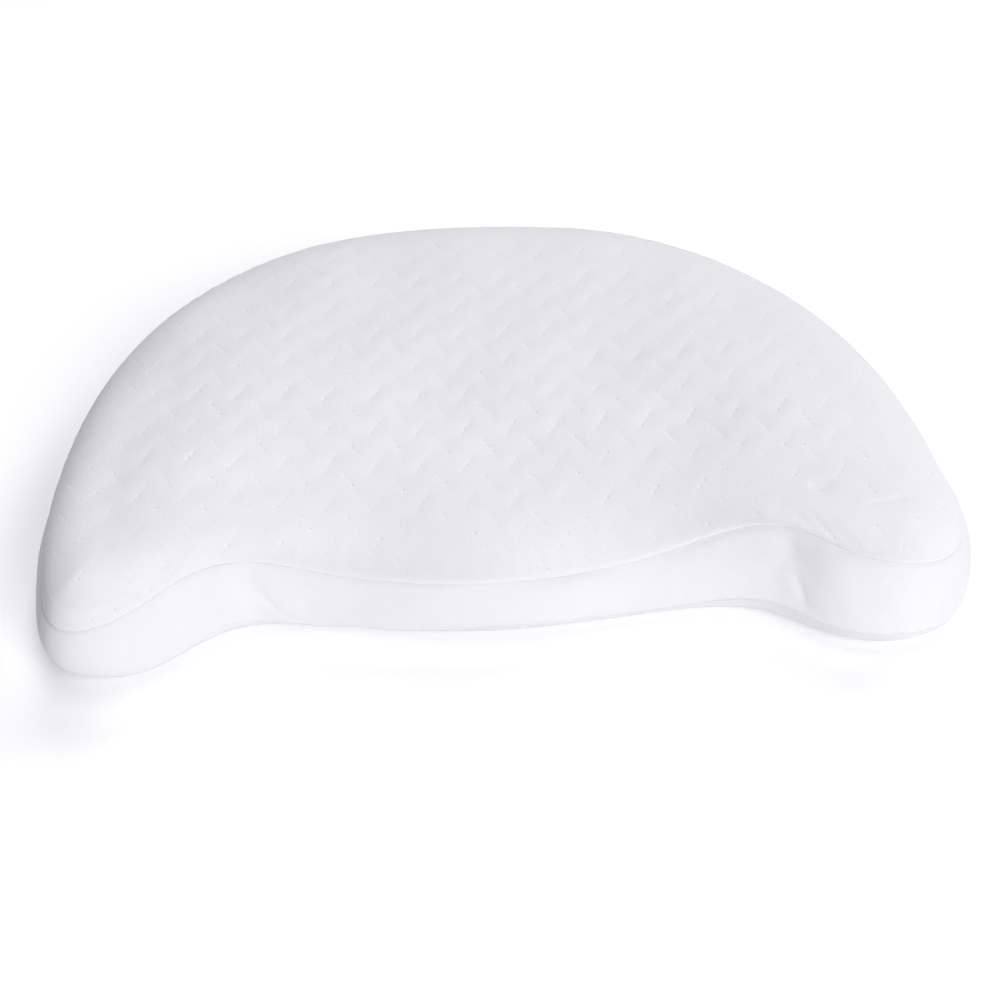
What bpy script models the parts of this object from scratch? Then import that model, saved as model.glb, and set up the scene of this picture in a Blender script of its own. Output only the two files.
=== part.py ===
"""Infant positioning pillow: a half-moon foam pillow in a quilted knit cover.

The pillow is one filled solid. It lies on its base with +Z up and +Y towards its
rounded back edge, and the two lobes reach forward on either side of the shoulder recess.
The origin is on the base, under the middle of the pillow's outline.
All dimensions below are in millimetres. The mesh itself is built in metres.
"""

import math

import bpy
import numpy as np
from mathutils import Vector
from mathutils.geometry import delaunay_2d_cdt

METRE = 1000.0

# The widest line of the cover, once round from the middle of the back edge, clockwise seen from above.
# x, y: place of the outline. seam_z, seam_in: height of the top seam, and how far it lies inside the
# outline. rise: how high the top panel rolls over from its seam. base_z, base_in: height of the base
# seam, and how far it lies inside the outline.
STATION_COLUMNS = ("x", "y", "seam_z", "seam_in", "rise", "base_z", "base_in")
STATIONS = {
    "back": (0, 121.5, 32.5, 5, 8.5, 4, 4),
    "right_back_quarter": (68, 111, 32, 5, 8.5, 4, 4),
    "right_shoulder": (133, 58.5, 33.5, 4, 9.5, 4, 4),
    "right_flank": (166.5, -3.5, 38.5, 8, 9, 5.5, 4),
    "right_side": (186, -67.5, 37, 14, 10.5, 7.5, 5),
    "right_lobe_side": (176, -98, 37.5, 8, 10, 4.5, 4),
    "right_lobe_tip": (155.5, -114, 42, 9, 6, 10.5, 3),
    "right_lobe_inner": (118.5, -110.5, 44, 13, 4.5, 12.5, 3),
    "right_notch": (96.5, -99, 44.5, 14, 3.5, 14.5, 3),
    "right_front": (68, -95, 33.5, 11.5, 7.5, 9.5, 3),
    "front": (-6, -103, 31, 6, 8, 8.5, 4.5),
    "left_front": (-76, -95, 33, 6, 8, 2.5, 6),
    "left_notch": (-103, -99.5, 41, 9, 6, 9.5, 7),
    "left_lobe_inner": (-132.5, -116, 39.5, 8, 8.5, 4.5, 8),
    "left_lobe_tip": (-171, -114.5, 34.5, 2.5, 13, 3.5, 9),
    "left_lobe_side": (-180, -97.5, 36, 5.5, 12, 2, 9),
    "left_side": (-184, -67.5, 34, 7.5, 13.5, 3.5, 8),
    "left_flank": (-172, -5, 37, 5, 11, 4, 7),
    "left_shoulder": (-140, 59, 37, 4, 9, 4, 5),
    "left_back_quarter": (-75, 111, 32.5, 3.5, 8.5, 4, 4),
}

# Base panel: flat where the pillow rests, then rolled up to the base seam.
FLAT_IN = 14.5
FLAT_PER_BASE_IN = 0.5
ROLL_STEPS = (0.35, 0.62, 0.84)

# Side band between the two seams. It bulges more where it is drawn in under the pillow.
BAND_BULGE = 0.35
BULGE_PER_BASE_IN = 0.55
BAND_STEPS = (0.18, 0.36, 0.55, 0.73, 0.88)

# The sewn channel at each seam, as wide as the two lips beside it stand apart.
CHANNEL_DEPTH = 1.3
CHANNEL_HALF_WIDTH = 1.5
LOWEST_SEAM = 1.0

# Top panel: it rolls over from the seam, rises in a crown and dips a little in the middle.
TOP_ROLL = 22.5
CROWN = 9.0
CROWN_REACH = 105.0
DIP = 3.0
DIP_HALF_WIDTH = 95.0
TOP_STEPS = (1.4, 5.0, 9.5, 16.0)

# Soft creases in the side band at the two notches, the deeper ones first.
# x_low, x_high: where the crease lies at the base seam and at the top seam.
CREASE_COLUMNS = ("x_low", "x_high", "width", "depth")
CREASES = {
    "right_hollow": (112, 107, 9, 1.3),
    "right_tuck": (112.5, 103.5, 4.5, 0.8),
    "right_ridge": (96, 93, 6, -0.8),
    "left_hollow": (-95, -100, 6, 1.6),
    "left_tuck": (-87, -94, 4.5, 1.0),
    "left_ridge": (-106, -111, 6, -0.8),
}

# Quilting of the top panel: short stitched grooves, leaning right and left in turn.
PITCH_X = 17.8
PITCH_Y = 18.6
FIRST_X = 3.5
FIRST_Y = 10.5
GROOVE_HALF_X = 2.7
GROOVE_HALF_Y = 4.4
GROOVE_DEPTH = 0.8
GROOVE_END_DEPTH = 0.35
FLANK_OFFSET = 3.4
PUFF = 0.3
QUILT_EDGE = 20.0
FADE_LENGTH = 45.0
FADE_LEFT = 0.35

# Spacing of the points round the outline.
ROUND_POINTS = 172
NOTCH_X = 106.0
NOTCH_REACH = 30.0
NOTCH_FRONT_Y = -60.0
NOTCH_DENSITY = 1.6
FINE_POINTS = 1440

RIM_POWER = 4
FABRIC_COLOUR = (0.86, 0.86, 0.89, 1.0)
FABRIC_ROUGHNESS = 0.92
SHARP_ANGLE = math.radians(60)


def closed_spline(knots, values, at):
    """Read a periodic cubic spline, which passes through values at knots, at the lengths in at."""
    count = len(knots) - 1
    span = np.diff(knots)
    rise = np.roll(values, -1, axis=0) - values
    slope = rise / span[:, None]
    system = np.zeros((count, count))
    here = np.arange(count)
    before = np.roll(span, 1)
    system[here, here] = 2 * (before + span)
    system[here, here - 1] = before
    system[here, (here + 1) % count] = span
    bend = np.linalg.solve(system, 6 * (slope - np.roll(slope, 1, axis=0)))
    after = np.roll(bend, -1, axis=0)
    at = np.mod(at, knots[-1])
    piece = np.clip(np.searchsorted(knots, at, side="right") - 1, 0, count - 1)
    step = (at - knots[piece])[:, None]
    width = span[piece][:, None]
    first = slope[piece] - width * (2 * bend[piece] + after[piece]) / 6
    third = (after[piece] - bend[piece]) / (6 * width)
    return values[piece] + first * step + bend[piece] / 2 * step**2 + third * step**3


def outline(at_points=None):
    """The stations' values, and the inward direction, at points spread round the outline."""
    values = np.array(list(STATIONS.values()), float)
    steps = np.roll(values[:, :2], -1, axis=0) - values[:, :2]
    knots = np.concatenate([[0.0], np.cumsum(np.hypot(steps[:, 0], steps[:, 1]))])
    fine_at = np.linspace(0, knots[-1], FINE_POINTS, endpoint=False)
    if at_points is None:
        at = fine_at
    else:
        fine = closed_spline(knots, values, fine_at)
        near_notch = np.exp(-(((np.abs(fine[:, 0]) - NOTCH_X) / NOTCH_REACH) ** 2))
        density = 1 + NOTCH_DENSITY * near_notch * (fine[:, 1] < NOTCH_FRONT_Y)
        total = np.concatenate([[0.0], np.cumsum(density)])
        wanted = np.linspace(0, total[-1], at_points, endpoint=False)
        at = np.interp(wanted, total, np.append(fine_at, knots[-1]))
    found = closed_spline(knots, values, at)
    ahead = closed_spline(knots, values, at + 0.5)[:, :2]
    behind = closed_spline(knots, values, at - 0.5)[:, :2]
    along = ahead - behind
    inward = np.stack([along[:, 1], -along[:, 0]], axis=1)
    inward /= np.hypot(inward[:, 0], inward[:, 1])[:, None]
    return dict(zip(STATION_COLUMNS, found.T)), inward


def quarter_round(share):
    """Height of a quarter circle, from 0 at its rim to 1 at its top."""
    return np.sqrt(1 - (1 - np.clip(share, 0, 1)) ** 2)


def arch(share):
    """Height of a parabola, from 0 at its foot to 1 at its top."""
    return 1 - (1 - np.clip(share, 0, 1)) ** 2


class TopPanel:
    """The height of the top panel over any place inside the top seam, and the edge of its quilting."""

    def __init__(self):
        line, inward = outline()
        place = np.stack([line["x"], line["y"]], axis=1)
        self.seam = place + inward * line["seam_in"][:, None]
        self.seam_z, self.rise = line["seam_z"], line["rise"]
        self.quilted = place + inward * (line["seam_in"] + QUILT_EDGE)[:, None]

    def distance(self, places):
        """How far each place lies from the top seam, and the weights that blend the seam's height."""
        apart = places[:, None, :] - self.seam[None, :, :]
        gap = np.hypot(apart[..., 0], apart[..., 1])
        return gap.min(axis=1), 1 / (gap + 0.1) ** RIM_POWER

    def height(self, places):
        """Rim height, plus a quarter-round roll, a crown and a shallow dip in the middle."""
        gap, weight = self.distance(places)
        weight = weight / weight.sum(axis=1)[:, None]
        rolled = weight @ self.seam_z + (weight @ self.rise) * quarter_round(gap / TOP_ROLL)
        rolled = rolled + CROWN * arch(gap / CROWN_REACH)
        across = np.exp(-((np.abs(places[:, 0]) / DIP_HALF_WIDTH) ** 4))
        return rolled - DIP * across * arch(gap / CROWN_REACH)

    def quilt_strength(self, places):
        """Full in the middle of the panel, weak near the seam, where the cover is stretched."""
        gap, _ = self.distance(places)
        inside = np.clip((gap - QUILT_EDGE) / FADE_LENGTH, 0, 1)
        return FADE_LEFT + (1 - FADE_LEFT) * inside

    def holds(self, places):
        """Whether each place lies inside the quilted part, by counting crossings of its edge."""
        start, end = self.quilted, np.roll(self.quilted, -1, axis=0)
        x, y = places[:, 0:1], places[:, 1:2]
        spans = (start[:, 1] > y) != (end[:, 1] > y)
        drop = np.where(end[:, 1] == start[:, 1], 1.0, end[:, 1] - start[:, 1])
        cross = start[:, 0] + (y - start[:, 1]) / drop * (end[:, 0] - start[:, 0])
        return (spans & (x < cross)).sum(axis=1) % 2 == 1


def crease_depth(x, y, share):
    """How far the side band is drawn in by its creases, at a share of its height."""
    depth = np.zeros_like(x)
    for row in CREASES.values():
        crease = dict(zip(CREASE_COLUMNS, row))
        centre = crease["x_low"] + (crease["x_high"] - crease["x_low"]) * share
        depth += crease["depth"] * np.exp(-(((x - centre) / crease["width"]) ** 2))
    return depth * (y < NOTCH_FRONT_Y) * math.sin(math.pi * share) ** 0.6


def base_rings(line, place):
    """Rings of the base panel, from the edge of its flat part up to the base seam."""
    flat = FLAT_IN + FLAT_PER_BASE_IN * line["base_in"]
    rings = [place(flat, np.zeros(ROUND_POINTS))]
    top = np.maximum(line["base_z"] - CHANNEL_HALF_WIDTH, LOWEST_SEAM)
    for step in ROLL_STEPS:
        turn = step * math.pi / 2
        inset = line["base_in"] + (flat - line["base_in"]) * (1 - math.sin(turn))
        rings.append(place(inset, top * (1 - math.cos(turn))))
    rings.append(place(line["base_in"], top))
    rings.append(place(line["base_in"] + CHANNEL_DEPTH, top + CHANNEL_HALF_WIDTH))
    return rings


def band_rings(line, place):
    """Rings of the side band, bulging between the two seams."""
    low = np.maximum(line["base_z"] - CHANNEL_HALF_WIDTH, LOWEST_SEAM) + 2 * CHANNEL_HALF_WIDTH
    high = line["seam_z"] - CHANNEL_HALF_WIDTH
    bulge = BAND_BULGE + BULGE_PER_BASE_IN * line["base_in"]
    rings = [place(line["base_in"], low)]
    for share in BAND_STEPS:
        inset = line["base_in"] * (1 - share) + line["seam_in"] * share
        inset = inset - bulge * 4 * share * (1 - share)
        inset = inset + crease_depth(line["x"], line["y"], share)
        rings.append(place(inset, low + (high - low) * share))
    rings.append(place(line["seam_in"], high))
    return rings


def top_rings(line, place, top):
    """Rings of the top seam's channel and of the top panel's rolled edge."""
    rings = [place(line["seam_in"] + CHANNEL_DEPTH, line["seam_z"])]
    lip = TOP_ROLL * (1 - np.sqrt(1 - (CHANNEL_HALF_WIDTH / line["rise"]) ** 2))
    for step in (lip, lip + TOP_STEPS[0]) + TOP_STEPS[1:]:
        ring = place(line["seam_in"] + step, line["seam_z"])
        ring[:, 2] = top.height(ring[:, :2])
        rings.append(ring)
    return rings


def quilt_layout(top):
    """Points of the quilted part, each with its relief, and the grooves as runs of three points."""
    places, relief, grooves = [], [], []
    columns = range(-11, 12)
    rows = range(-7, 8)
    across = np.array([GROOVE_HALF_Y, -GROOVE_HALF_X])
    across *= FLANK_OFFSET / np.hypot(across[0], across[1])
    for column in columns:
        for row in rows:
            start = np.array([FIRST_X + column * PITCH_X, FIRST_Y + row * PITCH_Y])
            for shift, lean in ((0.0, 1), (0.5, -1)):
                centre = start + shift * np.array([PITCH_X, PITCH_Y])
                half = np.array([lean * GROOVE_HALF_X, GROOVE_HALF_Y])
                side = across * np.array([1, lean])
                group = np.array([centre - half, centre, centre + half, centre - side, centre + side])
                if top.holds(group).all():
                    grooves.append(len(places))
                    places.extend(group)
                    relief.extend([-GROOVE_END_DEPTH, -GROOVE_DEPTH, -GROOVE_END_DEPTH, 0.0, 0.0])
            for puff in (start + (PITCH_X / 2, 0), start + (0, PITCH_Y / 2)):
                if top.holds(puff[None, :]).all():
                    places.append(puff)
                    relief.append(PUFF)
    return np.array(places), np.array(relief), grooves


def quilted_faces(edge, top):
    """Triangles that fill the ring edge with the quilting's points."""
    places, relief, grooves = quilt_layout(top)
    count = len(edge)
    flat = [Vector(place) for place in np.concatenate([edge[:, :2], places]).tolist()]
    runs = [(i, (i + 1) % count) for i in range(count)]
    for first in grooves:
        runs += [(count + first, count + first + 1), (count + first + 1, count + first + 2)]
    triangles = delaunay_2d_cdt(flat, runs, [], 1, 1e-6)[2]
    heights = top.height(places) + relief * top.quilt_strength(places)
    return np.column_stack([places, heights]), [tuple(face) for face in triangles]


def build_mesh():
    """Stack the rings from the base up, close the base, and fill the top with the quilting."""
    line, inward = outline(ROUND_POINTS)
    top = TopPanel()

    def place(inset, height):
        inset = np.broadcast_to(inset, line["x"].shape)[:, None]
        flat = np.stack([line["x"], line["y"]], axis=1) + inward * inset
        return np.column_stack([flat, np.broadcast_to(height, line["x"].shape)])

    rings = base_rings(line, place) + band_rings(line, place) + top_rings(line, place, top)
    quilt_points, quilt_triangles = quilted_faces(rings[-1], top)
    points = np.concatenate(rings + [quilt_points]) / METRE

    count = ROUND_POINTS
    faces = []
    for lower in range(len(rings) - 1):
        for i in range(count):
            after = (i + 1) % count
            a, b = lower * count + i, lower * count + after
            faces.append((a, a + count, b + count, b))
    last = (len(rings) - 1) * count
    faces += [tuple(last + corner for corner in face) for face in quilt_triangles]
    faces.append(tuple(range(count)))
    mesh = bpy.data.meshes.new("pillow")
    mesh.from_pydata(points.tolist(), [], faces)
    mesh.validate()
    return mesh


def fabric():
    """White knit cover."""
    material = bpy.data.materials.new("white knit cover")
    material.use_nodes = True
    shader = material.node_tree.nodes["Principled BSDF"]
    shader.inputs["Base Color"].default_value = FABRIC_COLOUR
    shader.inputs["Roughness"].default_value = FABRIC_ROUGHNESS
    shader.inputs["Metallic"].default_value = 0.0
    return material


def main():
    for item in list(bpy.data.objects):
        bpy.data.objects.remove(item, do_unlink=True)
    mesh = build_mesh()
    mesh.materials.append(fabric())
    mesh.shade_smooth()
    mesh.set_sharp_from_angle(angle=SHARP_ANGLE)
    pillow = bpy.data.objects.new("pillow", mesh)
    bpy.context.scene.collection.objects.link(pillow)


main()
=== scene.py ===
"""Looks of an infant positioning pillow: its quilted knit cover, sewn seams, light and camera.

The cover is three closed pieces of cloth, as a maker cuts them: a quilted top panel, a side band and a
base panel. Each is a surface over a grid of two numbers: one runs round the pillow, the other from one
edge of the cloth to the other. All sizes are in millimetres, and a mesh is made in metres.
"""

import math

import bpy
import numpy as np
from mathutils import Matrix, Vector


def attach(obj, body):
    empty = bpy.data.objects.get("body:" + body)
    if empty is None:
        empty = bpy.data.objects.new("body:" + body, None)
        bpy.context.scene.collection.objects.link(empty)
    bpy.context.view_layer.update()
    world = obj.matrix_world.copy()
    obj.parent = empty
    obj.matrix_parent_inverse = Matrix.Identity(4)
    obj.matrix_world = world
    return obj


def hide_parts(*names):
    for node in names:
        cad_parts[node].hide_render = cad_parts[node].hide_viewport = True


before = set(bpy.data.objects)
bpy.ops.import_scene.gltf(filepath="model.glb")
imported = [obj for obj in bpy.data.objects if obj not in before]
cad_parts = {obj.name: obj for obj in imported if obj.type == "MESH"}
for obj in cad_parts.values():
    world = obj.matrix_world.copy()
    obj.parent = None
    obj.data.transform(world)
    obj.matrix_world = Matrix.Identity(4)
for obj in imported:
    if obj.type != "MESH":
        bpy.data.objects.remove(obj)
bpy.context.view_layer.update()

METRE = 1000.0
SHARP_ANGLE = math.radians(60)

# The widest line of the cover, once round from the middle of the back edge, clockwise seen from above.
# x, y: place of the outline. seam_z, seam_in: height of the top seam, and how far it lies inside the
# outline. rise: how high the top panel rolls over from its seam. base_z, base_in: height of the base
# seam, and how far it lies inside the outline.
STATION_COLUMNS = ("x", "y", "seam_z", "seam_in", "rise", "base_z", "base_in")
STATIONS = {
    "back": (0, 121.5, 32.5, 5, 8.5, 4, 4),
    "right_back_quarter": (68, 111, 32, 5, 8.5, 4, 4),
    "right_shoulder": (133, 58.5, 33.5, 4, 9.5, 4, 4),
    "right_flank": (166.5, -3.5, 38.5, 8, 9, 5.5, 4),
    "right_side": (186, -67.5, 37, 14, 10.5, 7.5, 5),
    "right_lobe_side": (176, -98, 37.5, 8, 10, 4.5, 4),
    "right_lobe_tip": (155.5, -114, 42, 9, 6, 10.5, 3),
    "right_lobe_inner": (118.5, -110.5, 44, 13, 4.5, 12.5, 3),
    "right_notch": (96.5, -99, 44.5, 14, 3.5, 14.5, 3),
    "right_front": (68, -95, 33.5, 11.5, 7.5, 9.5, 3),
    "front": (-6, -103, 31, 6, 8, 8.5, 4.5),
    "left_front": (-76, -95, 33, 6, 8, 2.5, 6),
    "left_notch": (-103, -99.5, 41, 9, 6, 9.5, 7),
    "left_lobe_inner": (-132.5, -116, 39.5, 8, 8.5, 4.5, 8),
    "left_lobe_tip": (-171, -114.5, 34.5, 2.5, 13, 3.5, 9),
    "left_lobe_side": (-180, -97.5, 36, 5.5, 12, 2, 9),
    "left_side": (-184, -67.5, 34, 7.5, 13.5, 3.5, 8),
    "left_flank": (-172, -5, 37, 5, 11, 4, 7),
    "left_shoulder": (-140, 59, 37, 4, 9, 4, 5),
    "left_back_quarter": (-75, 111, 32.5, 3.5, 8.5, 4, 4),
}
FINE_POINTS = 1440
DIRECTION_STEP = 0.5

# Base panel: flat where the pillow rests, then rolled up to the base seam. The flat part starts farther
# in where the seam does. The inner rows are shares of the way from the seam to the spine, on the inside.
FLAT_IN = 14.5
FLAT_PER_BASE_IN = 0.5
LOWEST_SEAM = 2.0
BASE_COLUMNS = 520
BASE_ROLL_ROWS = 9
BASE_FLAT_ROWS = 26
BASE_LIP_SHARE = 0.7
BASE_LEAN = 0.12
BASE_CLOTH = 3.0
BASE_INNER_ROWS = (0.08, 0.3, 0.6, 1.0)

# Side band between the two seams. It bulges more where it is drawn in under the pillow. The inner rows
# are shares of its height.
BAND_BULGE = 0.35
BULGE_PER_BASE_IN = 0.55
BAND_COLUMNS = 1060
BAND_ROWS = 32
BAND_CLOTH = 4.0
BAND_INNER_ROWS = (0.9, 0.5, 0.1)

# The two cloths meet at a seam in rounded lips that turn inwards: how far in each row of a lip lies, and
# how far from the seam.
LIP_DEPTH = 0.55
LIP_HEIGHT = 2.0
LIP_TURNS = np.radians((48, 56, 64, 72, 81, 90))
LIP_IN = LIP_DEPTH * (1 - np.sin(LIP_TURNS)) / (1 - math.sin(LIP_TURNS[0]))
LIP_UP = LIP_HEIGHT * (1 - np.cos(LIP_TURNS) / math.cos(LIP_TURNS[0]))

# Top panel: it rolls over from the seam, rises in a crown and dips a little in the middle. Its columns
# end on a spine, an arch with a part that is evenly spaced and a part that crowds towards its ends.
TYPICAL_RISE = 8.5
TOP_ROLL = 22.5
CROWN = 10.4
CROWN_REACH = 120.0
DIP = 3.3
DIP_HALF_WIDTH = 95.0
TOP_COLUMNS = 900
TOP_ROLL_ROWS = 24
TOP_STEP = 1.22
ARC_POINTS = 400
TOP_SPAN = 105.0
NEAR_SEAM = 3.0
SOFT_START = 0.1
PLACES_AT_ONCE = 6000
RIM_SOFTNESS = 2.0
RIM_REACH = 12.0
SPINE_HALF = 110.0
SPINE_BEND = 28.0
SPINE_CURVED = 0.4
INNER_RISE = 0.55
TOP_INNER_ROWS = (0.04, 0.15, 0.35, 0.65, 1.0)

# Quilting of the top panel: short stitched grooves, leaning right and left in turn.
PITCH_X = 17.8
PITCH_Y = 18.6
FIRST_X = 3.5
FIRST_Y = 10.5
GROOVE_HALF_X = 2.7
GROOVE_HALF_Y = 4.4
GROOVE_DEPTH = 0.23
GROOVE_WIDTH = 1.8
GROOVE_END = 0.8
GROOVE_SHARPNESS = 1.6
GROOVE_EVEN = 0.75
GROOVE_UNEVEN = 0.3
UNEVEN_TURNS = (12.9, 78.2, 5)
PUFF = 0.07
QUILT_EDGE = 14.0
FADE_LENGTH = 46.0
FADE_LEFT = 0.12
BAND_QUILTING = 0.22

# Soft creases of the side band. low and high: x of the crease's two ends. from and to: their heights,
# as shares of the band's. width and depth: of its trough, and a ridge where the depth is negative.
BAND_CREASE_COLUMNS = ("low", "from", "high", "to", "width", "depth")
BAND_CREASES = {
    "right_hollow": (110, 0.1, 104, 0.95, 8, 0.7),
    "right_pocket": (106, 0.6, 106.5, 0.86, 4.0, 0.6),
    "right_swell": (122, 0.1, 119, 0.95, 9, -0.9),
    "right_tuck": (111.5, 0.15, 107.5, 0.5, 1.6, 0.45),
    "right_tuck_lip": (107.5, 0.2, 103, 0.45, 2.4, -0.3),
    "right_small_tuck": (124, 0.1, 121, 0.35, 2.0, 0.35),
    "right_fold": (110, 1.0, 129, 0.78, 4.0, -0.35),
    "left_hollow": (-95.5, 0.0, -100, 1.0, 5, 1.5),
    "left_tuck": (-89, 0.3, -94.5, 0.6, 2.2, 0.9),
    "left_small_tuck": (-76, 0.4, -79, 0.65, 2.5, 0.4),
    "left_ridge": (-106, 0.1, -110, 0.9, 6, -0.9),
}
CREASE_END = 0.09
NOTCH_FRONT_Y = -60.0

# Where the top panel swells over its seam. x, y: its middle. reach: how far it goes round. height, and
# peak: how far inside the seam it is highest.
EDGE_SWELL_COLUMNS = ("x", "y", "reach", "height", "peak")
EDGE_SWELLS = {
    "left_side": (-181, -72, 42, 1.4, 4.5),
    "left_shelf": (-180, -68, 48, 3.6, 12),
    "left_lobe": (-160, -108, 26, 0.8, 4.5),
    "right_side": (181, -60, 40, 0.8, 4.5),
}
EDGE_SWELL_POWER = 3

# Faint creases and dimples of the top panel. turn: heading of its line, in degrees.
TOP_CREASE_COLUMNS = ("x", "y", "turn", "half_length", "width", "depth")
TOP_CREASES = {
    "right_line": (144, -80, 13, 10, 1.2, 0.35),
    "right_dimple": (119.5, -70.5, 0, 4, 3, 0.5),
    "right_drag": (108, -84, -35, 10, 4, 0.6),
    "left_ripple_high": (-103, -58, 8, 28, 5, 0.35),
    "left_ripple_low": (-98, -72, 14, 26, 5, 0.4),
    "left_drag": (-104, -84, 30, 10, 4, 0.5),
}

# The cloth isn't quite even: long swells and short wobbles in it, and puckers beside the seams, whose
# spacing drifts and whose strength varies along the seam. At the seams themselves it is level.
SWELL_LENGTH = 55.0
SWELL_HEIGHT = 0.45
SWELL_REACH = 25.0
WOBBLE_LENGTH = 13.0
WOBBLE_HEIGHT = 0.07
PUCKER_LENGTH = 9.5
PUCKER_REACH = 6.0
PUCKER_HEIGHT = 0.14
PUCKER_DRIFT = 2.5
DRIFT_LENGTH = 60.0
STRENGTH_LENGTH = 90.0
STRENGTH_MIDDLE = 0.55
STRENGTH_SPREAD = 0.45
LEVEL_REACH = 4.0
NOISE_SPREAD = (0.7, 1.5)
NOISE_PEAK = 1.6
NOISE_SEEDS = {
    "top_swell": 11,
    "top_wobble": 12,
    "band_swell": 21,
    "band_wobble": 22,
    "pucker_drift": 31,
    "pucker_strength": 32,
}

# Knit of the cover: its ribs and stitches, its fuzz, and patches where they stand out more.
WALE = 1.2
COURSE = 1.0
STITCH_HEIGHT = 0.09
LEG_SLANT = 0.45
LEG_DEPTH = 0.3
FUZZ_HEIGHT = 0.06
FUZZ_SCALE = 1.4
PATCH_SCALE = 0.16
BLOTCH_SCALE = 0.03
SHEEN = 0.1
SHEEN_ROUGHNESS = 0.6
SPECULAR = 0.2
ROUGHNESS = 0.78
ROUGHNESS_OF_FUZZ = 0.15

# Needle pits along the grooves, painted highlights on the thread beside them, and the fine line of a
# groove.
PIT_SPACING = 3.2
PIT_RADIUS = 0.6
PIT_DEPTH = 0.13
GLINT_RADIUS = 0.7
GLINT_ASIDE = 0.8
GLINT_ALONG = 0.7
CHANCE_SPREAD = 1.6
PITS_MISSING = 0.45
GLINTS_MISSING = 0.55
LINE_DEPTH = 0.018
LINE_SHARPNESS = 1.6
LINE_END = 0.6
BAND_PITS = 0.3

# Colour of the cover: how grey it is, between its two colours, and what each detail adds to that. The
# blotches and the fuzz are the knit's own uneven tone; the darkening between the ribs and in the pits
# is painted shade, and the glints are painted highlights.
WHITE_GREY = 0.4
# The base panel's knit is set greyer than the top panel's and the band's.
BASE_GREY = 0.58
LIGHT_COLOUR = (0.95, 0.94, 0.97)
DARK_COLOUR = (0.68, 0.662, 0.712)
TONE_AND_PAINTED_LIGHT = {"blotch": 0.1, "between": 0.06, "fuzz": 0.05, "pit": 0.14, "painted_glint": 0.22}


def closed_spline(knots, values, at):
    """Read a periodic cubic spline, which passes through values at knots, at the lengths in at."""
    count = len(knots) - 1
    span = np.diff(knots)
    slope = (np.roll(values, -1, axis=0) - values) / span[:, None]
    system = np.zeros((count, count))
    here = np.arange(count)
    before = np.roll(span, 1)
    system[here, here] = 2 * (before + span)
    system[here, here - 1] = before
    system[here, (here + 1) % count] = span
    bend = np.linalg.solve(system, 6 * (slope - np.roll(slope, 1, axis=0)))
    after = np.roll(bend, -1, axis=0)
    at = np.mod(at, knots[-1])
    piece = np.clip(np.searchsorted(knots, at, side="right") - 1, 0, count - 1)
    step = (at - knots[piece])[:, None]
    width = span[piece][:, None]
    first = slope[piece] - width * (2 * bend[piece] + after[piece]) / 6
    third = (after[piece] - bend[piece]) / (6 * width)
    return values[piece] + first * step + bend[piece] / 2 * step**2 + third * step**3


STATION_VALUES = np.array(list(STATIONS.values()), float)
STATION_STEPS = np.roll(STATION_VALUES[:, :2], -1, axis=0) - STATION_VALUES[:, :2]
KNOTS = np.concatenate([[0.0], np.cumsum(np.hypot(STATION_STEPS[:, 0], STATION_STEPS[:, 1]))])
ROUND = KNOTS[-1]


class Outline:
    """The stations' values, blended round the outline, and the inward direction, at given lengths."""

    def __init__(self, lengths):
        found = closed_spline(KNOTS, STATION_VALUES, lengths)
        column = dict(zip(STATION_COLUMNS, found.T))
        self.place = found[:, :2]
        self.seam_z, self.seam_in = column["seam_z"], column["seam_in"]
        self.base_z, self.base_in = np.maximum(column["base_z"], LOWEST_SEAM), column["base_in"]
        self.rise = column["rise"]
        ahead = closed_spline(KNOTS, STATION_VALUES, lengths + DIRECTION_STEP)
        behind = closed_spline(KNOTS, STATION_VALUES, lengths - DIRECTION_STEP)
        along = unit((ahead - behind)[:, :2])
        self.inward = np.stack([along[:, 1], -along[:, 0]], axis=1)

    def at_inset(self, inset):
        """Places that lie inside the outline by inset."""
        return self.place + self.inward * np.broadcast_to(inset, len(self.place))[:, None]


def unit(vectors):
    """Vectors of the plane, each brought to length 1."""
    return vectors / np.hypot(vectors[:, 0], vectors[:, 1])[:, None]


def quarter_round(share):
    """Height of a quarter circle, from 0 at its rim to 1 at its top."""
    return np.sqrt(1 - (1 - np.clip(share, 0, 1)) ** 2)


def arch(share):
    """Height of a parabola, from 0 at its foot to 1 at its top."""
    return 1 - (1 - np.clip(share, 0, 1)) ** 2


def soft_noise(x, y, length, seed, waves=16):
    """A sum of plane sine waves of about one length, with drawn headings and phases, from about -1
    to 1. The seed is a name in NOISE_SEEDS."""
    draw = np.random.default_rng(NOISE_SEEDS[seed])
    heading = draw.uniform(0, 2 * math.pi, waves)
    rate = 2 * math.pi / (length * draw.uniform(*NOISE_SPREAD, waves))
    phase = draw.uniform(0, 2 * math.pi, waves)
    total = np.zeros_like(x)
    for turn, speed, start in zip(heading, rate, phase):
        total += np.sin(speed * (math.cos(turn) * x + math.sin(turn) * y) + start)
    return total / (NOISE_PEAK * math.sqrt(waves / 2))


SEAM_LINE = Outline(np.linspace(0, ROUND, FINE_POINTS, endpoint=False))
TOP_SEAM = SEAM_LINE.at_inset(SEAM_LINE.seam_in)


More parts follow.
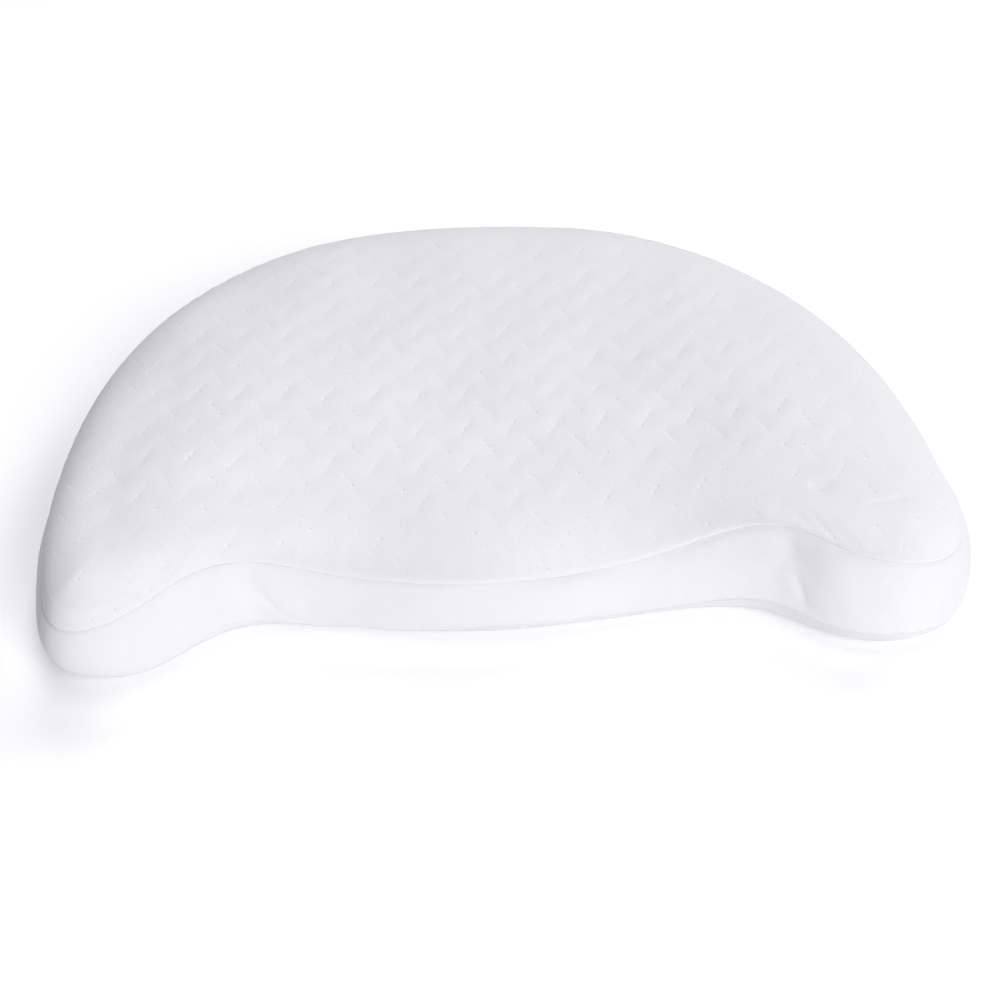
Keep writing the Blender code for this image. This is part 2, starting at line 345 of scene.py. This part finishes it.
def seam_distance(places):
    """How far each place lies inside the top seam, to its nearest point and to all of it, and the seam's
    height and the panel's rise, blended over the panel. The distance to all of it is that of a straight
    line whose points' weights, one over distance to the fourth, add up to the same."""
    gaps, softs, rims, rises = [], [], [], []
    seam = TOP_SEAM.astype(np.float32)
    around = np.roll(seam, -1, axis=0) - np.roll(seam, 1, axis=0)
    spacing = np.hypot(around[:, 0], around[:, 1]) / 2
    for part in np.array_split(places.astype(np.float32), max(1, len(places) // PLACES_AT_ONCE)):
        apart = part[:, None, :] - seam[None, :, :]
        square = (apart**2).sum(axis=2)
        nearest = square.argmin(axis=1)
        offset = part - seam[nearest]
        gaps.append(np.maximum((offset * SEAM_LINE.inward[nearest]).sum(axis=1), 0))
        apart = np.sqrt(square)
        softs.append((math.pi / 2 / ((apart + SOFT_START) ** -4 @ spacing)) ** (1 / 3))
        weight = (apart + RIM_SOFTNESS) ** -4
        weight /= weight.sum(axis=1)[:, None]
        rims.append(weight @ SEAM_LINE.seam_z)
        rises.append(weight @ SEAM_LINE.rise)
    return [np.concatenate(found) for found in (gaps, softs, rims, rises)]


def top_height(places, inside=None):
    """Rim height, plus a quarter-round roll, a crown and a shallow dip in the middle. Also the distances
    from the seam, to its nearest point and to all of it, and the rim height, which the crown stands on.
    Close to the seam, inside is the more exact distance."""
    gap, soft, rim, rise = seam_distance(places)
    if inside is not None:
        away = np.clip(inside / NEAR_SEAM, 0, 1)
        gap = inside * (1 - away) + gap * away
    dip = DIP * np.exp(-((np.abs(places[:, 0]) / DIP_HALF_WIDTH) ** 4))
    height = rim + rise * quarter_round(gap / TOP_ROLL) + (CROWN - dip) * arch(soft / CROWN_REACH)
    return height, gap, soft, rim


def quilting(u, v):
    """Stitched grooves on a slanted lattice, each a rounded trough across its line that fades at its
    ends. Between them the cloth puffs up as the product of two cosines."""
    a, b = (u - FIRST_X) / PITCH_X, (v - FIRST_Y) / PITCH_Y
    relief = -PUFF * np.cos(2 * math.pi * a) * np.cos(2 * math.pi * b)
    half = math.hypot(GROOVE_HALF_X, GROOVE_HALF_Y)
    turn_column, turn_row, turn_shift = UNEVEN_TURNS
    for shift, lean in ((0.0, 1), (0.5, -1)):
        column, row = np.round(a - shift), np.round(b - shift)
        x, y = (a - shift - column) * PITCH_X, (b - shift - row) * PITCH_Y
        along = (lean * GROOVE_HALF_X * x + GROOVE_HALF_Y * y) / half
        across = (GROOVE_HALF_Y * x - lean * GROOVE_HALF_X * y) / half
        turn = turn_column * column + turn_row * row + turn_shift * shift
        uneven = GROOVE_EVEN + GROOVE_UNEVEN * np.sin(turn)
        ends = 1 / (1 + np.exp((np.abs(along) - half) / GROOVE_END))
        trench = np.exp(-((np.abs(across) / GROOVE_WIDTH) ** GROOVE_SHARPNESS))
        relief -= GROOVE_DEPTH * uneven * ends * trench
    return relief


def trough(x, y, start, end, width):
    """A rounded trough across the line from start to end, fading at its two ends."""
    reach_x, reach_y = end[0] - start[0], end[1] - start[1]
    length = np.hypot(reach_x, reach_y)
    along = ((x - start[0]) * reach_x + (y - start[1]) * reach_y) / length**2
    across = ((x - start[0]) * reach_y - (y - start[1]) * reach_x) / length
    fade = 1 / (1 + np.exp(-along / CREASE_END)) / (1 + np.exp((along - 1) / CREASE_END))
    return np.exp(-((across / width) ** 2)) * fade


def top_creases(x, y):
    """The faint creases and dimples of the top panel."""
    depth = np.zeros_like(x)
    for row in TOP_CREASES.values():
        crease = dict(zip(TOP_CREASE_COLUMNS, row))
        turn = math.radians(crease["turn"])
        half = crease["half_length"] * np.array([math.cos(turn), math.sin(turn)])
        middle = np.array([crease["x"], crease["y"]])
        depth += crease["depth"] * trough(x, y, middle - half, middle + half, crease["width"])
    return depth


def band_creases(x, y, share, height):
    """The soft creases of the side band, worked out over x and the height above the base seam."""
    depth = np.zeros_like(x)
    for row in BAND_CREASES.values():
        crease = dict(zip(BAND_CREASE_COLUMNS, row))
        start = crease["low"], crease["from"] * height
        end = crease["high"], crease["to"] * height
        depth += crease["depth"] * trough(x, share * height, start, end, crease["width"])
    return depth * (y < NOTCH_FRONT_Y)


def edge_swell(x, y, gap, soft):
    """How far the top panel swells beside its seam: it starts level, peaks, and fades slowly. Away from
    the seam it goes by the distance to all of the seam, which has no ridges."""
    blend = np.clip(gap / NEAR_SEAM, 0, 1)
    inside = gap * (1 - blend) + soft * blend
    rise = np.zeros_like(x)
    for row in EDGE_SWELLS.values():
        swell = dict(zip(EDGE_SWELL_COLUMNS, row))
        away = np.hypot(x - swell["x"], y - swell["y"]) / swell["reach"]
        reach = inside / swell["peak"]
        rise += swell["height"] * np.exp(-(away**2)) * (reach * np.exp(1 - reach)) ** EDGE_SWELL_POWER
    return rise


def seam_pucker(length, gap):
    """Small ripples across a seam, stronger in some stretches of it, dying away from the seam."""
    drift = PUCKER_DRIFT * soft_noise(length, 0 * length, DRIFT_LENGTH, "pucker_drift")
    ripple = np.sin(2 * math.pi * length / PUCKER_LENGTH + drift)
    vary = soft_noise(length, 0 * length, STRENGTH_LENGTH, "pucker_strength")
    strength = STRENGTH_MIDDLE + STRENGTH_SPREAD * vary
    return PUCKER_HEIGHT * strength * ripple * np.exp(-gap / PUCKER_REACH)


def grid_normals(points):
    """Unit normals of a grid that closes round its columns, as the cross product of its two
    directions."""
    across = np.roll(points, -1, axis=1) - np.roll(points, 1, axis=1)
    down = np.gradient(points, axis=0)
    normal = np.cross(across, down)
    return normal / np.maximum(np.linalg.norm(normal, axis=2), 1e-9)[..., None]


def grid_faces(rows, columns):
    """Quads of a grid that closes round its columns, as four corner arrays."""
    row, column = np.meshgrid(np.arange(rows - 1), np.arange(columns), indexing="ij")
    after = (column + 1) % columns
    corners = [row * columns + column, row * columns + after]
    corners += [(row + 1) * columns + after, (row + 1) * columns + column]
    return np.stack([c.ravel() for c in corners], axis=1)


def unwrap(points, outward):
    """Cloth coordinates of a panel: from its last row out to its first, each step is as long as the
    cloth is there, so a pattern isn't stretched where the panel rolls over."""
    steps = np.linalg.norm(np.diff(points, axis=0), axis=2)
    out = np.cumsum(steps[::-1], axis=0)[::-1]
    out = np.concatenate([out, np.zeros((1, points.shape[1]))])
    return points[-1:, :, :2] + outward[None] * out[..., None]


def make_mesh(name, points, faces, cloth):
    """A mesh from points in millimetres, quads, and the cloth coordinates of each quad's corners."""
    mesh = bpy.data.meshes.new(name)
    mesh.vertices.add(len(points))
    mesh.vertices.foreach_set("co", (points / METRE).astype(np.float32).ravel())
    mesh.loops.add(faces.size)
    mesh.loops.foreach_set("vertex_index", faces.astype(np.int32).ravel())
    mesh.polygons.add(len(faces))
    mesh.polygons.foreach_set("loop_start", np.arange(0, faces.size, 4, dtype=np.int32))
    layer = mesh.uv_layers.new(name="cloth")
    layer.uv.foreach_set("vector", (cloth / METRE).astype(np.float32).ravel())
    mesh.update(calc_edges=True)
    mesh.shade_smooth()
    mesh.set_sharp_from_angle(angle=SHARP_ANGLE)
    piece = bpy.data.objects.new(name, mesh)
    bpy.context.scene.collection.objects.link(piece)
    return piece


def panel_columns(columns):
    """Lengths round the outline of a panel's columns, and where each meets the panel's spine, an arch
    that ends towards the lobes. A column in the front half and its partner in the back half meet the
    spine at one point."""
    names = list(STATIONS)
    right, left = KNOTS[names.index("right_side")], KNOTS[names.index("left_side")]
    half = columns // 2
    share = np.arange(half) / half
    lengths = np.concatenate([right + (left - right) * share, left + (ROUND + right - left) * share])
    share = np.concatenate([share, 1 - share])
    along = SPINE_CURVED * np.cos(math.pi * share) + (1 - SPINE_CURVED) * (1 - 2 * share)
    spine = np.stack([SPINE_HALF * along, -SPINE_BEND * along**2], axis=1)
    return lengths, spine


def close_at_spine(faces, columns, last_row):
    """Let each column of the back half end in its partner's point on the spine."""
    first = last_row * columns
    partner = np.arange(columns)
    back = partner > columns // 2
    partner[back] = columns - partner[back]
    on_spine = (faces >= first) & (faces < first + columns)
    return np.where(on_spine, first + partner[np.clip(faces - first, 0, columns - 1)], faces)


def drop_loose(points, faces):
    """Leave out the points that no face uses."""
    used = np.zeros(len(points), bool)
    used[faces.ravel()] = True
    place = np.cumsum(used) - 1
    return points[used], place[faces]


def close_panel(name, inner, outer, cloth, faces_up):
    """Mesh of a panel. Its outer and inner grids both run from the seam to the spine, where each is sewn
    shut, so the panel is closed. Cloth has the coordinates of the outer grid."""
    grid = np.concatenate([inner[::-1], outer])
    rows, columns = grid.shape[:2]
    faces = grid_faces(rows, columns)
    if faces_up:
        faces = faces[:, ::-1]
    cloth_grid = np.concatenate([np.repeat(cloth[:1], len(inner), axis=0), cloth]).reshape(-1, 2)
    corner_cloth = cloth_grid[faces]
    faces = close_at_spine(close_at_spine(faces, columns, 0), columns, rows - 1)
    points, faces = drop_loose(grid.reshape(-1, 3), faces)
    return make_mesh(name, points, faces, corner_cloth)


def top_row_distances(rise):
    """Distances of the top panel's rows from the seam, for each column: the lip, then the roll and the
    crown, whose spacing is that of an even rise and starts where the column's own lip ends."""
    lip_gap = TOP_ROLL * (1 - np.sqrt(1 - (LIP_UP[:, None] / rise) ** 2))
    turn = np.linspace(0, math.pi / 2, ARC_POINTS)
    gap, height = TOP_ROLL * (1 - np.cos(turn)), TYPICAL_RISE * np.sin(turn)
    arc = np.concatenate([[0], np.cumsum(np.hypot(np.diff(gap), np.diff(height)))])
    start = np.interp(LIP_HEIGHT, height, arc)
    roll = np.interp(np.linspace(start, arc[-1], TOP_ROLL_ROWS + 1), arc, gap)
    crown = np.arange(roll[-1] + TOP_STEP, TOP_SPAN, TOP_STEP)
    even = np.concatenate([roll, crown, [TOP_SPAN]])
    share = ((even - even[0]) / (TOP_SPAN - even[0]))[1:, None]
    return np.concatenate([lip_gap, lip_gap[-1] + (TOP_SPAN - lip_gap[-1]) * share])


def top_panel():
    """Quilted top panel. Columns run from the seam to the spine, rows go round."""
    lengths, spine = panel_columns(TOP_COLUMNS)
    line = Outline(lengths)
    seam = line.at_inset(line.seam_in)
    distances = top_row_distances(line.rise)
    share = distances / TOP_SPAN
    flat = seam[None] + (spine - seam)[None] * share[..., None]
    inside = share * ((spine - seam) * line.inward).sum(axis=1)
    found = top_height(flat.reshape(-1, 2), inside.ravel())
    height, gap, soft, rim = (part.reshape(inside.shape) for part in found)
    height += (line.seam_z - rim) * (1 - arch(gap / RIM_REACH))

    lip = np.zeros(len(distances))
    lip[: len(LIP_IN)] = LIP_IN
    smooth = np.concatenate([flat + lip[:, None, None] * line.inward[None], height[..., None]], axis=2)
    cloth = unwrap(smooth, unit(seam - spine))
    u, v = cloth[..., 0], cloth[..., 1]

    strength = FADE_LEFT + (1 - FADE_LEFT) * arch(np.clip((gap - QUILT_EDGE) / FADE_LENGTH, 0, 1))
    rise = quilting(u, v) * strength - top_creases(flat[..., 0], flat[..., 1])
    rise += edge_swell(flat[..., 0], flat[..., 1], gap, soft)
    rise += SWELL_HEIGHT * soft_noise(u, v, SWELL_LENGTH, "top_swell") * arch(gap / SWELL_REACH)
    rise += WOBBLE_HEIGHT * soft_noise(u, v, WOBBLE_LENGTH, "top_wobble")
    rise += seam_pucker(np.broadcast_to(lengths, gap.shape), gap)
    rise *= arch(gap / LEVEL_REACH)
    normal = grid_normals(smooth)
    normal *= np.sign(normal[-2, 0, 2])
    normal[-1] = (0, 0, 1)
    outer = smooth + normal * rise[..., None]
    outer[0] = smooth[0]

    rim_line = smooth[0, :, :2]
    inner_flat = rim_line + (spine - rim_line) * np.reshape(TOP_INNER_ROWS, (-1, 1, 1))
    under, _, _, under_rim = top_height(inner_flat.reshape(-1, 2))
    under = (under_rim + (under - under_rim) * INNER_RISE).reshape(inner_flat.shape[:2])
    inner = np.concatenate([inner_flat, under[..., None]], axis=2)
    return close_panel("top_panel", inner, outer, cloth, faces_up=True)


def band_grid(line, rows):
    """Places of the side band's cloth before it creases, its shares of the height, and the gap to the
    nearer seam. Each row lies inside the outline by the blend of its two seams' insets, less a bulge."""
    tall = line.seam_z - line.base_z
    middle = np.linspace(0, 1, rows + 1)[1:-1]
    lower = LIP_UP[:, None] * np.ones_like(tall)
    between = LIP_HEIGHT + (tall - 2 * LIP_HEIGHT)[None] * middle[:, None]
    height = np.concatenate([lower, between, tall[None] - lower[::-1]])
    share = height / tall
    lip = np.concatenate([LIP_IN, np.zeros(len(middle)), LIP_IN[::-1]])
    bulge = BAND_BULGE + BULGE_PER_BASE_IN * line.base_in
    inset = line.base_in * (1 - share) + line.seam_in * share - bulge * 4 * share * (1 - share)
    flat = line.place[None] + line.inward[None] * (inset + lip[:, None])[..., None]
    points = np.concatenate([flat, (line.base_z + height)[..., None]], axis=2)
    return points, share, np.minimum(height, tall - height)


def side_band():
    """Side band, sewn to both panels, with its bulge, creases and puckers."""
    lengths = np.linspace(0, ROUND, BAND_COLUMNS, endpoint=False)
    line = Outline(lengths)
    smooth, share, gap = band_grid(line, BAND_ROWS)
    tall = (line.seam_z - line.base_z)[None]
    along = np.broadcast_to(lengths, share.shape)
    steps = np.linalg.norm(np.diff(smooth, axis=0), axis=2)
    up = np.concatenate([[np.zeros(BAND_COLUMNS)], np.cumsum(steps, axis=0)])
    cloth = np.stack([along, up], axis=2)

    rise = -band_creases(smooth[..., 0], smooth[..., 1], share, tall)
    rise += BAND_QUILTING * quilting(along, up)
    rise += SWELL_HEIGHT * soft_noise(along, up, SWELL_LENGTH, "band_swell")
    rise += WOBBLE_HEIGHT * soft_noise(along, up, WOBBLE_LENGTH, "band_wobble")
    rise += seam_pucker(along, gap)
    rise *= arch(gap / LEVEL_REACH)
    normal = grid_normals(smooth)
    outward = -(normal[..., :2] * line.inward[None]).sum(axis=2)
    normal *= np.sign(outward[len(outward) // 2, 0])
    outer = smooth + normal * rise[..., None]

    inner_share = np.reshape(BAND_INNER_ROWS, (-1, 1))
    inner_inset = line.base_in + (line.seam_in - line.base_in) * inner_share + BAND_CLOTH
    inner_flat = line.place[None] + line.inward[None] * inner_inset[..., None]
    inner_z = line.base_z + tall * inner_share
    inner = np.concatenate([inner_flat, inner_z[..., None]], axis=2)
    grid = np.concatenate([outer, inner, outer[:1]])
    rows = len(grid)
    faces = grid_faces(rows, BAND_COLUMNS)
    u = np.concatenate([cloth, np.repeat(cloth[-1:], len(inner), axis=0), cloth[:1]])
    u = np.concatenate([u, u[:, :1] + (ROUND, 0)], axis=1)
    row, column = np.divmod(np.arange(len(faces)), BAND_COLUMNS)
    corner_cloth = np.stack(
        [u[row, column], u[row, column + 1], u[row + 1, column + 1], u[row + 1, column]], axis=1
    )
    last = (rows - 1) * BAND_COLUMNS
    faces = np.where(faces >= last, faces - last, faces)
    return make_mesh("side_band", grid[:-1].reshape(-1, 3), faces, corner_cloth)


def base_panel():
    """Base panel: a lip at its seam, a roll down to the surface, and flat from there to its spine. The
    roll blends a quarter of an ellipse with a straight lean, and a row's turn is its angle on it."""
    lengths, spine = panel_columns(BASE_COLUMNS)
    line = Outline(lengths)
    lip = np.concatenate([LIP_IN, np.zeros(BASE_ROLL_ROWS)])
    turn = np.arccos(BASE_LIP_SHARE * LIP_UP[:, None] / line.base_z)
    down = turn[-1] * np.linspace(1, 0, BASE_ROLL_ROWS + 1)[1:, None]
    turn = np.concatenate([turn, down])
    flat = FLAT_IN + FLAT_PER_BASE_IN * line.base_in
    rows = []
    for angle, inward in zip(turn, lip):
        rolled = (1 - BASE_LEAN) * (1 - np.sin(angle)) + BASE_LEAN * np.cos(angle)
        inset = line.base_in + (flat - line.base_in) * rolled + inward
        rows.append(np.column_stack([line.at_inset(inset), line.base_z * (1 - np.cos(angle))]))
    edge = rows[-1][:, :2]
    for share in np.linspace(0, 1, BASE_FLAT_ROWS + 1)[1:]:
        rows.append(np.column_stack([edge + (spine - edge) * share, np.zeros(BASE_COLUMNS)]))
    outer = np.array(rows)
    cloth = unwrap(outer, unit(edge - spine))

    seam = outer[0]
    floor = np.column_stack([spine, np.full(BASE_COLUMNS, BASE_CLOTH)])
    inner = seam + (floor - seam) * np.reshape(BASE_INNER_ROWS, (-1, 1, 1))
    return close_panel("base_panel", inner, outer, cloth, faces_up=False)


class Signal:
    """A shader socket of one material. Arithmetic on signals adds the matching Math nodes."""

    def __init__(self, tree, socket=None):
        self.tree, self.socket = tree, socket

    def node(self, kind, settings=None, inputs=None, output=0):
        """Add a node: its settings first, then the values or links of its inputs. Returns an output."""
        made = self.tree.nodes.new(kind)
        for key, value in (settings or {}).items():
            setattr(made, key, value)
        for key, value in (inputs or {}).items():
            if isinstance(value, Signal):
                self.tree.links.new(value.socket, made.inputs[key])
            else:
                made.inputs[key].default_value = value
        return Signal(self.tree, made.outputs[output])

    def into(self, target):
        """Link this signal to another node's input."""
        self.tree.links.new(self.socket, target)

    def math(self, operation, *others):
        values = dict(enumerate((self, *others)))
        return self.node("ShaderNodeMath", {"operation": operation}, values)

    def __add__(self, other):
        return self.math("ADD", other)

    def __sub__(self, other):
        return self.math("SUBTRACT", other)

    def __mul__(self, other):
        return self.math("MULTIPLY", other)

    def __truediv__(self, other):
        return self.math("DIVIDE", other)

    def __neg__(self):
        return self * -1

    def __rsub__(self, other):
        return -self + other

    __radd__ = __add__
    __rmul__ = __mul__

    def mix(self, first, second):
        """A colour between first and second, by this signal. The node's inputs 6 and 7 and its output
        2 are its colours."""
        inputs = {0: self, 6: (*first, 1), 7: (*second, 1)}
        return self.node("ShaderNodeMix", {"data_type": "RGBA"}, inputs, output=2)


def cloth_material(name):
    """A material with its Principled shader, and a signal to add its nodes with."""
    material = bpy.data.materials.new(name)
    material.use_nodes = True
    shader = material.node_tree.nodes["Principled BSDF"]
    shader.inputs["Sheen Weight"].default_value = SHEEN
    shader.inputs["Sheen Roughness"].default_value = SHEEN_ROUGHNESS
    shader.inputs["Specular IOR Level"].default_value = SPECULAR
    return material, shader, Signal(material.node_tree)


def needle_pits(u, v):
    """Small pits where the quilting is knitted through, a few along each groove and some of them
    missing, painted highlights on the thread beside them, and the fine line of each groove. The pits
    carry painted shade as well as depth."""
    half = math.hypot(GROOVE_HALF_X, GROOVE_HALF_Y)
    pits, painted_glints, lines = 0, 0, 0
    for shift, lean in ((0.0, 1), (0.5, -1)):
        a = (u - FIRST_X) / PITCH_X - shift
        b = (v - FIRST_Y) / PITCH_Y - shift
        column, row = a.math("ROUND"), b.math("ROUND")
        x, y = (a - column) * PITCH_X, (b - row) * PITCH_Y
        along = x * (lean * GROOVE_HALF_X / half) + y * (GROOVE_HALF_Y / half)
        across = x * (GROOVE_HALF_Y / half) - y * (lean * GROOVE_HALF_X / half)
        beat = along / PIT_SPACING
        step = beat.math("ROUND")
        draw = u.node("ShaderNodeCombineXYZ", inputs={0: column * 3 + step, 1: row, 2: shift})
        chance = u.node("ShaderNodeTexWhiteNoise", {"noise_dimensions": "3D"}, {"Vector": draw})
        off = (beat - step) * PIT_SPACING
        within = (half + 1 - along.math("ABSOLUTE")).math("GREATER_THAN", 0.0)
        pit = (1 - (off * off + across * across) / PIT_RADIUS**2).math("MAXIMUM", 0.0)
        side, end = across + GLINT_ASIDE, off + GLINT_ALONG
        painted_glint = (1 - (end * end + side * side) / GLINT_RADIUS**2).math("MAXIMUM", 0.0)
        pits = pit * within * (chance * CHANCE_SPREAD - PITS_MISSING).math("MAXIMUM", 0.0) + pits
        shown = (chance * CHANCE_SPREAD - GLINTS_MISSING).math("MAXIMUM", 0.0)
        painted_glints = painted_glint * within * shown + painted_glints
        faded = ((half - along.math("ABSOLUTE")) * LINE_END).math("MAXIMUM", 0.0).math("MINIMUM", 1.0)
        lines = (across.math("ABSOLUTE") * -LINE_SHARPNESS).math("EXPONENT") * faded + lines
    return pits, painted_glints, lines


def noise(where, scale, detail):
    """Soft noise over a place, from 0 to 1."""
    inputs = {"Vector": where, "Scale": scale, "Detail": detail}
    return where.node("ShaderNodeTexNoise", inputs=inputs)


def knit_cover(name, pits, grey=WHITE_GREY):
    """White jersey knit: ribs crossed by the slanted legs of their stitches, soft fuzz, and the pits
    of the quilting at a given strength. Its colour lies between white and grey by grey, with painted
    shade between the ribs and in the pits and painted highlights on the glints beside them."""
    material, shader, root = cloth_material(name)
    cloth = root.node("ShaderNodeUVMap", {"uv_map": "cloth"})
    u = root.node("ShaderNodeSeparateXYZ", inputs={0: cloth}) * METRE
    v = root.node("ShaderNodeSeparateXYZ", inputs={0: cloth}, output=1) * METRE
    where = root.node("ShaderNodeCombineXYZ", inputs={0: u, 1: v})

    from_middle = ((u / WALE).math("FRACT") - 0.5).math("ABSOLUTE") * 2
    rib = 1 - from_middle * from_middle
    leg = ((v / COURSE + from_middle * LEG_SLANT) * (2 * math.pi)).math("SINE")
    stitch = rib * (leg * LEG_DEPTH + (1 - LEG_DEPTH))
    fuzz = noise(where, FUZZ_SCALE, 3.0)
    patch = noise(where, PATCH_SCALE, 2.0)
    blotch = noise(where, BLOTCH_SCALE, 2.0)
    height = stitch * (patch * patch * STITCH_HEIGHT) + fuzz * FUZZ_HEIGHT
    # Darker between the ribs: painted shade. The blotches and the fuzz are the knit's own uneven tone.
    tone_and_painted_light = blotch * TONE_AND_PAINTED_LIGHT["blotch"] + (1 - stitch) * patch * TONE_AND_PAINTED_LIGHT["between"]
    tone_and_painted_light = tone_and_painted_light + fuzz * TONE_AND_PAINTED_LIGHT["fuzz"] + grey
    if pits:
        holes, painted_glints, lines = needle_pits(u, v)
        height = height - (holes * PIT_DEPTH + lines * LINE_DEPTH) * pits
        # Painted shade darkens the needle pits, and painted highlights lighten the glints beside them.
        tone_and_painted_light = tone_and_painted_light + (holes * TONE_AND_PAINTED_LIGHT["pit"] - painted_glints * TONE_AND_PAINTED_LIGHT["painted_glint"]) * pits
    bump = {"Height": height, "Strength": 1.0, "Distance": 1 / METRE}
    root.node("ShaderNodeBump", inputs=bump).into(shader.inputs["Normal"])
    tone_and_painted_light.mix(LIGHT_COLOUR, DARK_COLOUR).into(shader.inputs["Base Color"])
    (fuzz * ROUGHNESS_OF_FUZZ + ROUGHNESS).into(shader.inputs["Roughness"])
    return material


# Camera of the photograph: its heading, height and roll in degrees, its distance in metres, its lens as a
# share of the picture's width, and where the pillow's middle lies in the picture of 1000 by 1000 pixels.
CAMERA = {"heading": -2.05, "height": 43.0, "roll": -0.72, "distance": 0.872, "lens": 2.111}
PICTURE_MIDDLE = (491.2, 424.6)
PICTURE_SIZE = 1000
AIM = Vector((-0.003, 0.0025, 0.020))
SENSOR = 36.0

# Soft lights round the pillow: heading from the front towards the right, height, both in degrees, and
# watts. Distances and sizes are in metres here.
LIGHTS = {
    "front_low": (20, 12, 12),
    "front_high": (22, 40, 22.5),
    "top": (0, 88, 11.5),
    "right_back": (130, 35, 15),
    "back_high": (180, 50, 14),
}
LIGHT_DISTANCE = 2.2
LIGHT_SIZE = 1.0
FLOOR_SIZE = 8.0
FLOOR_BELOW = 0.0004
FLOOR_COLOUR = (0.93, 0.93, 0.935, 1)
FLOOR_GLOW = 0.2
FLOOR_ROUGHNESS = 0.9
SKY_COLOUR = (0.6, 0.65, 1, 1)
SKY_STRENGTH = 0.04


def towards(heading, height):
    """Unit vector with a heading, from the front towards the right, and a height above the floor."""
    level = math.cos(height)
    return Vector((math.sin(heading) * level, -math.cos(heading) * level, math.sin(height)))


def stage():
    """Plain pale floor, soft studio lights round the pillow and a faint sky."""
    bpy.ops.mesh.primitive_plane_add(size=FLOOR_SIZE, location=(0, 0, -FLOOR_BELOW))
    floor = bpy.context.object
    floor.name = "floor"
    material, shader, _ = cloth_material("pale_floor")
    shader.inputs["Base Color"].default_value = FLOOR_COLOUR
    shader.inputs["Roughness"].default_value = FLOOR_ROUGHNESS
    shader.inputs["Emission Color"].default_value = (1, 1, 1, 1)
    shader.inputs["Emission Strength"].default_value = FLOOR_GLOW
    floor.data.materials.append(material)

    for name, (heading, height, power) in LIGHTS.items():
        light = bpy.data.lights.new(name, "AREA")
        light.size = LIGHT_SIZE
        light.energy = power
        lamp = bpy.data.objects.new(name, light)
        bpy.context.scene.collection.objects.link(lamp)
        away = towards(math.radians(heading), math.radians(height))
        lamp.location = AIM + away * LIGHT_DISTANCE
        lamp.rotation_euler = (-away).to_track_quat("-Z", "Y").to_euler()

    world = bpy.data.worlds.new("studio")
    world.use_nodes = True
    world.node_tree.nodes["Background"].inputs["Color"].default_value = SKY_COLOUR
    world.node_tree.nodes["Background"].inputs["Strength"].default_value = SKY_STRENGTH
    bpy.context.scene.world = world
    bpy.context.scene.view_settings.view_transform = "Standard"


def camera():
    """Place the camera on a sphere about the pillow, turned and shifted as the photograph's was."""
    heading, height = math.radians(CAMERA["heading"]), math.radians(CAMERA["height"])
    back = towards(heading, height)
    right = Vector((math.cos(heading), math.sin(heading), 0))
    up = back.cross(right)
    turn = math.radians(CAMERA["roll"])
    right, up = right * math.cos(turn) + up * math.sin(turn), up * math.cos(turn) - right * math.sin(turn)
    data = bpy.data.cameras.new("camera")
    data.sensor_width = SENSOR
    data.lens = CAMERA["lens"] * SENSOR
    data.shift_x = (PICTURE_SIZE / 2 - PICTURE_MIDDLE[0]) / PICTURE_SIZE
    data.shift_y = (PICTURE_MIDDLE[1] - PICTURE_SIZE / 2) / PICTURE_SIZE
    eye = bpy.data.objects.new("camera", data)
    bpy.context.scene.collection.objects.link(eye)
    turned = Matrix((right, up, back)).transposed().to_4x4()
    eye.matrix_world = Matrix.Translation(AIM + back * CAMERA["distance"]) @ turned
    bpy.context.scene.camera = eye


def dress(piece, material):
    """Give a piece its material, let it ride on the root body, and hide the imported pillow it stands in
    for.
    """
    piece.data.materials.append(material)
    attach(piece, "root")
    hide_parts("pillow")


camera()
stage()

dress(top_panel(), knit_cover("quilted_knit", 1.0))
dress(side_band(), knit_cover("band_knit", BAND_PITS))
dress(base_panel(), knit_cover("base_knit", 0, BASE_GREY))
